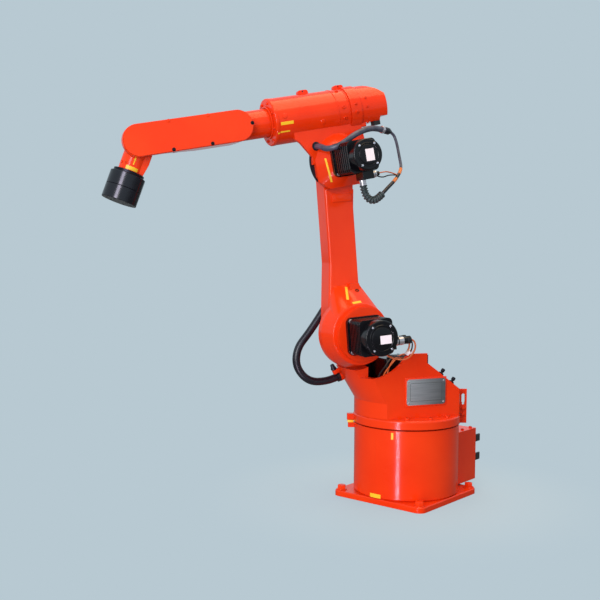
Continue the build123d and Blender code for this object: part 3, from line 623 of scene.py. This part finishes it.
# Connectors on the box: glass-filled nylon plugs with a knurled locking ring and a dust cap, screwed
# onto flanged sockets in the box's rear wall, each with its open flap beside it.
def knurled(radius, length, ridges, depth):
    """A ring with ridges along it for the fingers, chamfered at both ends."""
    shape = bmesh.new()
    bmesh.ops.create_cone(
        shape, cap_ends=True, segments=2 * ridges, radius1=radius, radius2=radius, depth=length,
        matrix=Matrix.Translation((0, 0, length / 2)),
    )
    sides = [face for face in shape.faces if abs(face.normal.z) < 0.5]
    sides.sort(key=lambda face: math.atan2(face.normal.y, face.normal.x))
    raised = bmesh.ops.extrude_discrete_faces(shape, faces=sides[::2])["faces"]
    for face in raised:
        bmesh.ops.translate(shape, verts=face.verts, vec=depth * face.normal)
        bmesh.ops.scale(
            shape, verts=face.verts, vec=(1, 1, 1 - 2 * depth / length),
            space=Matrix.Translation(-face.calc_center_median()),
        )
    return shape


# Nylon, moulded: black with a satin skin that is a little mottled by the glass fibre in it
nylon = mottled(
    "black_nylon", (150.0, 3.0), {"Base Color": colour("#17171A")},
    gloss=(0.34, 0.52), skin=(0.1, 0.0003),
)
dress(nylon, "connector_upper", "connector_lower", "cover_bracket", "hose_clamp", "arm_hose_gland")

connector_heights = (178, 106)
connector_places = [at(-298, 72, height, facing_back) for height in connector_heights]
keep(
    "connector_rings", copies(knurled(25, 13, 18, 1.4), connector_places), base_frame, nylon, "base"
)
dust_cap = turned(((0, 20.5), (14, 20.5), (16, 22), (24.3, 22), (25, 21), (25, 17), (0, 17)))
keep("connector_caps", copies(dust_cap, connector_places), base_frame, nylon, "base")
flap_places = [at(-312, 119, height) for height in connector_heights]
keep("connector_flaps", copies(block(43, 7, 28, 2.4, 3), flap_places), base_frame, nylon, "base")


# Cap screws: zinc-plated on the arm's motors, black on the first axis' motor and the tool discs, and
# painted over with the castings elsewhere. Each is a turned head with a hexagon socket.
def cap_screw(radius, height):
    """A cap screw's head with its hexagon socket and rounded rim."""
    shape = turned(
        ((radius * 0.55, height), (radius * 0.9, height), (radius, height * 0.88), (radius, 0)), 18
    )
    rim = [edge for edge in shape.edges if edge.is_boundary and edge.verts[0].co.z > height / 2]
    socket = bmesh.ops.create_circle(
        shape, segments=6, radius=radius * 0.52, matrix=Matrix.Translation((0, 0, height))
    )["verts"]
    lip = {edge for vertex in socket for edge in vertex.link_edges}
    bmesh.ops.bridge_loops(shape, edges=rim + list(lip))
    wall = bmesh.ops.extrude_edge_only(shape, edges=list(lip))["geom"]
    deep = [item for item in wall if isinstance(item, bmesh.types.BMVert)]
    bmesh.ops.translate(shape, verts=deep, vec=(0, 0, -height * 0.55))
    bmesh.ops.holes_fill(shape, edges=[edge for edge in shape.edges if edge.is_boundary])
    return shape


def round_places(radius, angles, height, turn=base_frame):
    """Places at those angles on a circle round the Z axis."""
    return [
        at(radius * math.cos(math.radians(a)), radius * math.sin(math.radians(a)), height, turn)
        for a in angles
    ]


shelf_places = round_places(174, (62, 90, 117, -62, -90, -117), 305.2)
keep("flange_screws", copies(cap_screw(8, 8), shelf_places), turret_frame, enamel, "turret")

box_screw_places = [at(-290, y, z, facing_back) for y in (-112, 0, 112) for z in (40, 208)]
box_screw_places += [at(x, y, 222) for x in (-274, -214) for y in (-112, 112)]
keep("box_screws", copies(cap_screw(6, 5), box_screw_places), base_frame, enamel, "base")

bracket_frame = turret_frame @ Matrix.Rotation(math.radians(156), 4, "Z")
bracket_screw_places = [at(206, -5, height, facing_right) for height in (300, 322)]
keep(
    "bracket_screws", copies(hexagon_bolt(10, 5, 8), bracket_screw_places), bracket_frame, enamel,
    "turret",
)

cap_screw_places = round_places(28, range(0, 360, 60), 0)
bearing_places = [at(249, -150, 608.5, facing_right) @ place for place in cap_screw_places]
keep(
    "bearing_cap_screws", copies(cap_screw(4.5, 4.5), bearing_places), turret_frame, enamel,
    "turret",
)

# Nameplate: brushed stainless steel, blank, held by four dome-headed rivets on a raised pad of the
# casting, with a printed border line.
brushed, tree, where = new_material("brushed_stainless_steel")
# The brush lines run along the plate. They are 0.1 mm apart and are drawn at 1 mm, so that they show
turned_back = add(tree, "Mapping", {"Rotation": (0, 0, math.radians(28))}, {"Vector": where})
stretched = add(tree, "Mapping", {"Scale": (12.0, 900.0, 900.0)}, {"Vector": turned_back})
grain = add(tree, "TexNoise", {"Scale": 1.0, "Detail": 3.0}, {"Vector": stretched})
tone = add(tree, "ValToRGB", links={"Fac": grain}, ramp={0: "#8F8D92", 1: "#D6D3D6"})
# Painted reflection: the plate is paler toward its front edge and darker toward its rear
split = add(tree, "SeparateXYZ", links={"Vector": turned_back})
painted_reflection_fall = add(
    tree,
    "MapRange",
    {"From Min": -0.09, "From Max": 0.08, "To Min": 0.55, "To Max": 2.2},
    {"Value": split.outputs["X"]},
)
tone = add(tree, "VectorMath", links={0: tone, 1: painted_reflection_fall}, operation="MULTIPLY")
gloss = add(tree, "MapRange", {"To Min": 0.24, "To Max": 0.42}, {"Value": grain})
brush = add(tree, "Bump", {"Strength": 0.15, "Distance": 0.0002}, {"Height": grain})
shader = add(
    tree,
    "BsdfPrincipled",
    {"Metallic": 1.0},
    {"Base Color": tone, "Roughness": gloss, "Normal": brush},
)
add(tree, "OutputMaterial", links={"Surface": shader})
dress(brushed, "nameplate")

# Screen ink of the border: flat black, only as thick as a coat of paint
ink = mottled("black_ink", (120.0, 2.0), {"Base Color": colour("#1C1A14")}, gloss=(0.45, 0.6))

# The plate's middle on the turret's near wall
plate_x = -6
plate_z = 398
keep(
    "nameplate_pad", block(168, 104, 3.2, 1.4), turret_frame @ at(plate_x, 127.4, plate_z, facing_left),
    enamel, "turret",
)
rivet = turned(((0, 2.2), (1.6, 2.0), (3.0, 1.2), (3.6, 0), (3.6, -0.3)), 20)
rivet_places = [
    at(plate_x + x, 132, plate_z + z, facing_left) for x in (-70, 70) for z in (-38, 38)
]
keep("nameplate_rivets", copies(rivet, rivet_places), turret_frame, nickel, "turret")
border = bmesh.new()
outline = bmesh.ops.create_grid(
    border, x_segments=1, y_segments=1, size=1, matrix=Matrix.Diagonal((64, 32, 1, 1))
)["verts"]
bmesh.ops.bevel(
    border, geom=outline, offset=4, affect="VERTICES", segments=4, profile=0.5, material=-1
)
bmesh.ops.inset_region(
    border, faces=border.faces[:], thickness=0.9, use_even_offset=True, use_boundary=True
)
middle = max(border.faces, key=lambda face: face.calc_area())
bmesh.ops.delete(border, geom=[middle], context="FACES")
bmesh.ops.solidify(border, geom=border.faces[:], thickness=0.25)
keep(
    "nameplate_border", border, turret_frame @ at(plate_x, 132.1, plate_z, facing_left), ink, "turret"
)

# Breathers on the turret's rear slope: black oxide steel plugs with a collar and a knurled head,
# screwed into the casting.
oxide = mottled(
    "black_oxide_steel", (75.0, 4.0), {"Metallic": 0.8},
    ramp={0: "#17161B", 1: "#2B2A32"}, gloss=(0.26, 0.42),
)

slope_tilt = Matrix.Rotation(math.radians(-36.6), 4, "Y")
breather = turned(
    (
        (0, 25), (5, 25), (7, 23.5), (7, 14), (5, 13), (5, 9), (9, 8), (10, 7), (10, 0), (9, -1),
        (0, -1),
    ),
    24,
)
breather_places = [at(x, 104, z, slope_tilt) for x, z in ((-78, 452.2), (-122, 419.5))]
keep("slope_breathers", copies(breather, breather_places), turret_frame, oxide, "turret")

# Stop on the nose: a moulded rubber buffer on a cast lug, before the arm's hub
buffer = turned(((0, 17), (5, 17), (7, 15), (8, 8), (8.6, 3), (10.5, 2.5), (10.5, -3), (0, -3)), 24)
nose_tilt = Matrix.Rotation(0.45, 4, "Y")
keep("nose_buffer", buffer, turret_frame @ at(276, -44, 471, nose_tilt), rubber, "turret")
nose_lug = block(26, 16, 16, 3)
keep("nose_lug", nose_lug, turret_frame @ at(266, -44, 461, nose_tilt), enamel, "turret")

# Wires in the turret's pocket: PVC-insulated leads of the first axis' motor, orange and black, laid
# in flat bends from its top to the pocket's near wall.
orange_pvc = mottled(
    "orange_pvc", (90.0, 2.0), {"Roughness": 0.42}, ramp={0: "#B5501F", 1: "#D9743A"}
)


def wire(name, points, diameter, material, holder, body, is_free=True):
    """A lead between two seats, along the smooth line of its points."""
    places = [metres @ holder @ Vector(point) for point in points]
    piece = laid(name, places, diameter, material)
    piece.data.bevel_resolution = 3
    piece.data.resolution_u = 8
    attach(piece, body)
    if is_free:
        line = [vertex.co.copy() for vertex in mesh_along(name + "_line", places).vertices]


# Each lead: its diameter, its insulation and the points it is laid along
pocket_leads = (
    (0.005, orange_pvc, (
        (60, 60, 510), (60, 66, 524), (92, 84, 520), (120, 98, 500), (136, 104, 470), (140, 111, 452),
    )),
    (0.005, orange_pvc, (
        (40, 56, 510), (40, 62, 530), (84, 92, 526), (122, 104, 496), (150, 108, 468), (158, 111, 450),
    )),
    (0.006, rubber, (
        (80, 56, 510), (80, 60, 522), (112, 76, 512), (140, 92, 486), (168, 100, 462), (176, 111, 444),
    )),
    (0.006, rubber, (
        (24, 50, 510), (24, 58, 528), (66, 98, 522), (96, 106, 488), (112, 108, 462), (120, 111, 440),
    )),
)
for number, (diameter, material, points) in enumerate(pocket_leads, 1):
    wire(f"pocket_lead_{number}", points, diameter, material, turret_frame, "turret", False)

# First-axis motor: cast aluminium in black paint, with the terminal block and lid screws on its top
motor_paint = painted(
    "black_motor_paint", 16.0, {0: "#060609", 1: "#0D0D12"}, 0.0015,
    {"Scale": 260.0, "Detail": 2.0}, 0.12, (0.14, 0.3),
    {"Coat Weight": 0.1, "Coat Roughness": 0.1, "Specular IOR Level": 0.3},
)
dress(motor_paint, *[name for name in nodes if "motor" in name])
keep("turn_motor_block", block(70, 40, 12, 3), turret_frame @ at(60, 44, 517), motor_paint, "turret")
turn_screw_places = [at(66 + x, 14 + y, 512) for x in (-44, 44) for y in (-44, 44)]
keep("turn_motor_screws", copies(cap_screw(5, 5), turn_screw_places), turret_frame, oxide, "turret")

# Shoulder and elbow motors: the screws that hold flange and end cap, the rings turned in the cap,
# and a bare white paper label on the cap's face.
paper = mottled(
    "white_label_paper", (70.0, 2.0), {"Roughness": 0.5}, ramp={0: "#E6DEE4", 1: "#FBF4F8"}
)

# Zinc plating over steel screws: bright, bluish, with a soft shine
zinc = mottled(
    "zinc_plated_steel", (200.0, 2.0),
    {"Base Color": colour("#DCDCE6"), "Metallic": 0.9}, gloss=(0.2, 0.34),
)


def corners(reach, y):
    """Places at the corners of a square that looks to the left."""
    return [at(x, y, z, facing_left) for x in (-reach, reach) for z in (-reach, reach)]


# Each motor: its name, frame, body, width, flange seat and end, its label's size and place
motors = (
    ("shoulder", lower_arm_frame, "lower_arm", 122, 145, 284, 41, 28, (-12, -5)),
    ("elbow", elbow_frame, "elbow", 106, 105, 272, 30, 39, (-5, -2)),
)
flange_thickness = 14
cap_length = 40
rod_gap = 0.5
for name, holder, body, width, seat, end, label_length, label_height, label_place in motors:
    half = width / 2
    flange_places = corners(half - 8, seat + flange_thickness)
    keep(f"{name}_motor_flange_screws", copies(cap_screw(7, 7), flange_places), holder, zinc, body)
    circle = half - 11
    end_places = [
        at(circle * math.cos(math.radians(a)), end, circle * math.sin(math.radians(a)), facing_left)
        for a in (50, 130, 230, 310)
    ]
    keep(f"{name}_motor_end_screws", copies(cap_screw(3.6, 3), end_places), holder, zinc, body)
    cover = turned(
        (
            (0, 2.6), (half * 0.56, 2.6), (half * 0.6, 2.2), (half * 0.62, 0.4), (half * 0.66, 0.4),
            (half * 0.68, 1.4), (half * 0.72, 1.4), (half * 0.74, 0),
        ),
        64,
    )
    keep(f"{name}_motor_cover", cover, holder @ at(0, end, 0, facing_left), motor_paint, body)
    keep(
        f"{name}_motor_label", block(label_length, label_height, 0.5, 0.12, 1),
        holder @ at(label_place[0], end + 2.8, label_place[1], facing_left), paper, body,
    )
    # Long tie bolts in the corners of the finned body, from the flange to the end cap
    rod_length = end - cap_length - seat - flange_thickness - 2 * rod_gap
    rod = turned(((0, 0), (4, 0), (4, rod_length), (0, rod_length)), 12)
    rod_places = corners(half - 9, seat + flange_thickness + rod_gap)
    keep(f"{name}_motor_tie_bolts", copies(rod, rod_places), holder, oxide, body)

# Connectors of the shoulder motor: nickel-plated shells that screw onto the two sockets of its
# terminal block, with a knurled nylon back nut and a white tie round the leads behind them.
shell = turned(
    (
        (0, 0), (14.4, 0), (15, 0.8), (15, 8), (13, 9), (13, 13), (14.6, 14), (14.6, 30), (12, 33),
        (12, 37), (9.5, 40), (9.5, 47), (0, 47),
    ),
    36,
)
shell_places = [at(-76, y, -25, facing_back) for y in (190, 222)]
keep("shoulder_motor_connectors", copies(shell, shell_places), lower_arm_frame, nickel, "lower_arm")
nut = knurled(12, 15, 14, 1.6)
keep(
    "shoulder_motor_back_nuts",
    copies(nut, [place @ Matrix.Translation((0, 0, 45)) for place in shell_places]),
    lower_arm_frame,
    nylon,
    "lower_arm",
)
shoulder_leads = (
    (0.006, orange_pvc, (
        (-136, 222, -25), (-152, 222, -27), (-158, 218, -62), (-130, 206, -96), (-92, 176, -92),
        (-74, 150, -72), (-70, 146, -62),
    )),
    (0.006, orange_pvc, (
        (-136, 190, -25), (-150, 190, -29), (-148, 188, -66), (-112, 176, -98), (-80, 158, -84),
        (-66, 146, -66),
    )),
    (0.005, rubber, (
        (-136, 218, -25), (-148, 217, -32), (-146, 208, -70), (-118, 190, -88), (-84, 168, -80),
        (-62, 146, -68),
    )),
)
for number, (diameter, material, points) in enumerate(shoulder_leads, 1):
    wire(f"shoulder_lead_{number}", points, diameter, material, lower_arm_frame, "lower_arm")
tie_place = lower_arm_frame @ at(-140, 198, -72, Matrix.Rotation(0.5, 4, "Y"))
keep("shoulder_lead_tie", block(26, 20, 9, 2), tie_place, paper, "lower_arm")

# Connectors of the elbow motor: a nickel-plated shell above the ribbed boot, and one that points
# back with two thin leads which loop into the woven sleeve.
elbow_shell = turned(
    (
        (0, 0), (11.4, 0), (12, 0.8), (12, 6), (10.4, 7), (10.4, 11), (11.6, 12), (11.6, 17),
        (10, 18.5), (0, 18.5),
    ),
    32,
)
elbow_shell_places = [at(0, 199, -79, facing_down), at(-34, 199, -66, facing_back)]
keep(
    "elbow_motor_connectors", copies(elbow_shell, elbow_shell_places), elbow_frame, nickel, "elbow"
)
joint_place = stretch_of(cable_line, 0.6, 0.7)
joint_middle = elbow_frame.inverted() @ (1000 * joint_place[len(joint_place) // 2])
elbow_leads = (
    ("elbow_lead_orange", (-53, 199, -66), (-74, 199, -64), (-110, 186, -66), orange_pvc),
    ("elbow_lead_black", (-53, 195, -70), (-72, 196, -84), (-112, 184, -76), rubber),
)
for name, first, second, third, material in elbow_leads:
    wire(name, (first, second, third, tuple(joint_middle)), 0.0042, material, elbow_frame, "elbow")
keep(
    "elbow_earth_clip", knurled(6.5, 12, 9, 1.0), elbow_frame @ at(-52, 199, -66, facing_back), nylon,
    "elbow",
)


# Fairings of the shoulder and elbow castings: each slopes out from its flat face to the motor's
# seat, so it is the hull of the seat's ring and of the face's outline.
def fairing(name, radius, angles, seat, outline, face, holder, body):
    """The hull of a ring at the motor's seat and an outline on the casting's face."""
    shape = bmesh.new()
    for place in round_places(radius, angles, 0):
        shape.verts.new((place.translation.x, seat, place.translation.y))
    for x, z in outline:
        shape.verts.new((x, face, z))
    bmesh.ops.convex_hull(shape, input=shape.verts[:])
    bmesh.ops.dissolve_limit(
        shape, angle_limit=math.radians(1), verts=shape.verts[:], edges=shape.edges[:]
    )
    return keep(name, shape, holder, enamel, body, 24)


shoulder_outline = ((52, 168), (-42, 170), (-50, 130), (-90, 86), (-104, 40), (80, 60), (70, 130))
fairing(
    "shoulder_fairing", 104, range(18, 163, 6), 124.5, shoulder_outline, 39, lower_arm_frame,
    "lower_arm",
)
elbow_outline = (
    (97.5, 16), (97.5, -60), (56, -90.5), (-52, -90.5), (-88, -58), (-104, -6), (-96, 44), (-70, 74),
    (-20, 90), (30, 84), (56, 70),
)
elbow_fairing = fairing(
    "elbow_fairing", 59, range(0, 360, 8), 104.6, elbow_outline, 60, elbow_frame, "elbow"
)

# The elbow's mark, a strip of tape down the fairing, is laid on it along the camera's view
fairing_surface = BVHTree.FromObject(elbow_fairing, bpy.context.evaluated_depsgraph_get())
mark_top = metres @ elbow_frame @ Vector((70, 89, 14))
mark_foot = metres @ elbow_frame @ Vector((53, 70, -68))
mark_half = 0.0035
mark_thickness = 0.0008
mark_steps = 12
mark_shape = bmesh.new()
mark_rows = []
for step in range(mark_steps + 1):
    aim = mark_top.lerp(mark_foot, step / mark_steps) - camera.location
    spot, outward, _, _ = fairing_surface.ray_cast(camera.location, aim)
    across = mark_half * (mark_foot - mark_top).cross(outward).normalized()
    raised = mark_thickness * outward
    section = (spot - across, spot + across, spot + across + raised, spot - across + raised)
    mark_rows.append([mark_shape.verts.new(corner) for corner in section])
for row, following in zip(mark_rows, mark_rows[1:]):
    for side in range(4):
        mark_shape.faces.new((row[side], row[side - 1], following[side - 1], following[side]))
mark_shape.faces.new(mark_rows[0])
mark_shape.faces.new(mark_rows[-1])
keep("elbow_mark", mark_shape, metres.inverted(), vinyl, "elbow")

# Painted shade: a dark rubber band round the front of the elbow's disc stands for the shadow on the
# disc's underside, and a dark sheet on the far wall of the turret's pocket for the pocket's deep shadow
keep(
    "elbow_front_painted_shade_band", wrapped(98.5, 13.5, 43, 49, -30, 62, 20), elbow_frame @ facing_left,
    rubber, "elbow",
)
sheet_place = turret_frame @ at(14, -50.6, 444)
keep("pocket_painted_shade_sheet", block(262, 1.6, 124, 0.4, 1), sheet_place, rubber, "turret")

# Lower arm: a raised pad near its top where the casting is machined, and a tapped hole with its
# chamfer in the slope above its hub.
arm_pad_place = lower_arm_frame @ at(-1, 40, 472, facing_left)
keep("arm_pad", block(74, 28, 10, 1.4), arm_pad_place, enamel, "lower_arm")
tapped = turned(((0, -2), (3.6, -2), (3.6, 0.1), (5.4, 1.0), (6.2, 0.9), (6.4, 0.0)), 24)
tapped_place = lower_arm_frame @ aimed(Vector((-22, 69.7, 147.6)), shoulder_slope)
keep("arm_tapped_hole", tapped, tapped_place, oxide, "lower_arm")

# Barrel: two turned rings at its rear seam with cap screws between them, screw plugs in its wall,
# the screws of the neck's cover, the rear flange and the rear cover, a dark lining in the conduit's
# hole that is also painted shade for the hole's inside, and a cast lug under the rear cover.
seam_ring = turned(((78, -2.2), (79.6, -2.2), (80.4, -1.4), (80.4, 1.4), (79.6, 2.2), (78, 2.2)), 96)
seam_places = [Matrix.Translation((0, 0, x)) for x in (-14, -56)]
keep("barrel_seam_rings", copies(seam_ring, seam_places), about_forearm, enamel, "elbow")


def radial(radius, angle, height):
    """A place on a cylinder round the Z axis, with its own Z axis outward."""
    turn = Matrix.Rotation(math.radians(angle), 4, "Z")
    return turn @ Matrix.Translation((radius, 0, height)) @ facing_front


# Each row of cap screws: its name, angles, place along the barrel and seat's radius, and the heads'
# radius and height
barrel_screws = (
    ("barrel_band_screws", (-120, -60, 0, 70, 97, 150), -35, 78.6, 6, 4.5),
    ("rear_flange_screws", (0, 40, 80, 100, -40, -80), -80, 83.6, 5, 4),
    ("rear_cover_screws", (0, 50, 90, 112, -50, -90), -124, 79.4, 4.2, 3.6),
)
for name, angles, along, seat, radius, height in barrel_screws:
    places = [radial(seat, angle, along) for angle in angles]
    keep(name, copies(cap_screw(radius, height), places), about_forearm, enamel, "elbow")
plug = turned(((0, 2.6), (4, 2.6), (5.5, 2), (8, 2), (8.8, 1.2), (8.8, -1), (0, -1)), 24)
plug_places = [radial(78.6, 68, 49), radial(78.6, 96, 185), radial(78.6, -95, 49)]
keep("barrel_screw_plugs", copies(plug, plug_places), about_forearm, enamel, "elbow")
ring_places = round_places(66, range(22, 382, 45), 220)
keep("neck_cover_screws", copies(cap_screw(4.5, 4.5), ring_places), about_forearm, enamel, "elbow")
neck_collar = turned(((47, 0), (54, 0), (55, 1), (55, 4), (53.6, 5.4), (50, 5.4)), 64)
keep("neck_collar", neck_collar, about_forearm @ at(0, 0, 220), enamel, "elbow")
# The hole's lining is dark rubber, and it also works as painted shade for the inside of the hole
keep(
    "conduit_hole_lining_painted_shade",
    turned(((10.6, -12), (14.4, -12), (14.4, 0.6), (13.4, 0.9), (10.6, 0.4)), 32),
    elbow_frame @ at(84, 62, 60, facing_left),
    rubber,
    "elbow",
)
keep("cover_lug", block(24, 28, 15, 3), elbow_frame @ at(-106, 48, 107.8), enamel, "elbow")

# Forearm: button screws in counterbores round the near cover and the far cover
button_profile = ((0, 1.4), (2.4, 1.2), (4.2, 0.6), (5.4, 0.3), (6.0, 0.5), (6.4, 0))
# Each set of screws: its name, the side it faces, the cover's face, its finish and its places
cover_screws = (
    ("near_cover_screws", facing_left, 72, oxide, ((578, 121), (447, 121), (300, 168))),
    ("near_cover_upper_screws", facing_left, 72, enamel, ((578, 212), (446, 212))),
    ("far_cover_screws", facing_right, -66, oxide, (
        (350, 204), (350, 128), (435, 204), (435, 128), (515, 204), (515, 128),
    )),
)
for name, side, face, material, spots in cover_screws:
    places = [at(x, face, z, side) for x, z in spots]
    keep(name, copies(turned(button_profile, 20), places), elbow_frame, material, "forearm")

# Wrist: the pivot's cover on the fork's far arm, screws on the neck, and the tool flange and discs of
# blackened steel, turned on a lathe so that light runs in a streak along them.
pivot_cover = turned(((0, 3.4), (20, 3.4), (24, 2.6), (26, 0), (26, -0.4)), 48)
pivot_place = elbow_frame @ at(wrist_reach, -58, forearm_rise, facing_right)
keep("wrist_pivot_cover", pivot_cover, pivot_place, enamel, "forearm")
neck_screws = [radial(37.4, angle, 84) for angle in (22, 130, 158)]
keep("wrist_neck_screws", copies(cap_screw(4, 4), neck_screws), about_wrist, enamel, "wrist")

lathe, tree, where = new_material("turned_blackened_steel")
# The turning marks are 0.2 mm apart and are drawn at 1.5 mm, so that they show
along = add(
    tree, "VectorMath", {1: tuple(wrist_frame.to_3x3() @ Vector((1, 0, 0)))}, {0: where},
    operation="DOT_PRODUCT",
)
feed = add(tree, "Math", {1: 4200.0}, {0: along.outputs["Value"]}, operation="MULTIPLY")
rings = add(tree, "Math", links={0: feed}, operation="SINE")
cloud = add(tree, "TexNoise", {"Scale": 30.0, "Detail": 3.0}, {"Vector": where})
tone = add(tree, "ValToRGB", links={"Fac": cloud}, ramp={0: "#08070F", 1: "#110F1C"})
marks = add(tree, "Bump", {"Strength": 0.1, "Distance": 0.0001}, {"Height": rings})
shader = add(
    tree,
    "BsdfPrincipled",
    {"Metallic": 0.3, "Roughness": 0.19, "Specular IOR Level": 0.85},
    {"Base Color": tone, "Normal": marks},
)
add(tree, "OutputMaterial", links={"Surface": shader})
dress(lathe, "tool_disc_upper", "tool_disc_lower")
dress(oxide, "tool_flange")
tool_screws = round_places(40, range(0, 360, 60), 202.4)
keep("tool_disc_screws", copies(cap_screw(4.5, 4), tool_screws), about_wrist, oxide, "tool")
